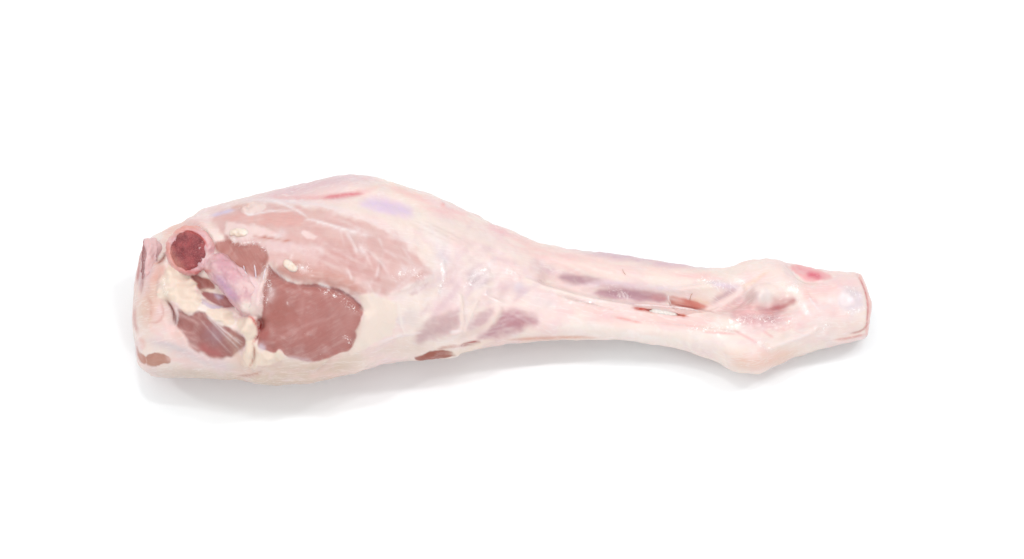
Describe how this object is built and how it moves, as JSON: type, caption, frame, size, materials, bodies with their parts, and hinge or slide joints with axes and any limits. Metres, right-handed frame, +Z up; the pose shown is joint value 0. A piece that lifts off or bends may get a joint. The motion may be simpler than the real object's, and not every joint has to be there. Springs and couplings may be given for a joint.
{
  "type": "milk-fed leg of lamb",
  "caption": "Raw milk-fed leg of lamb, bone in, lying on its outer side, with a sawn hip bone at the rump, a slim shank and a sawn hock.",
  "frame": {"origin": "middle of the bottom of the bounding box, on the plane the leg lies on", "axes": "+X along the leg from the rump to the hock, +Z up, away from the surface it lies on"},
  "size_m": [0.3591, 0.1056, 0.0781],
  "materials": {
    "flesh": "raw lamb under a thin moist membrane, pale pink with cream fat and darker lean",
    "bone": "moist raw bone and gristle, pinkish cream",
    "marrow": "wet dark red marrow"
  },
  "bodies": {
    "root": {"leg_flesh": "flesh", "hip_bone": "bone", "hip_marrow": "marrow", "blade_bone": "bone", "blade_marrow": "marrow", "cannon_bone": "bone", "cannon_marrow": "marrow"}
  },
  "joints": []
}
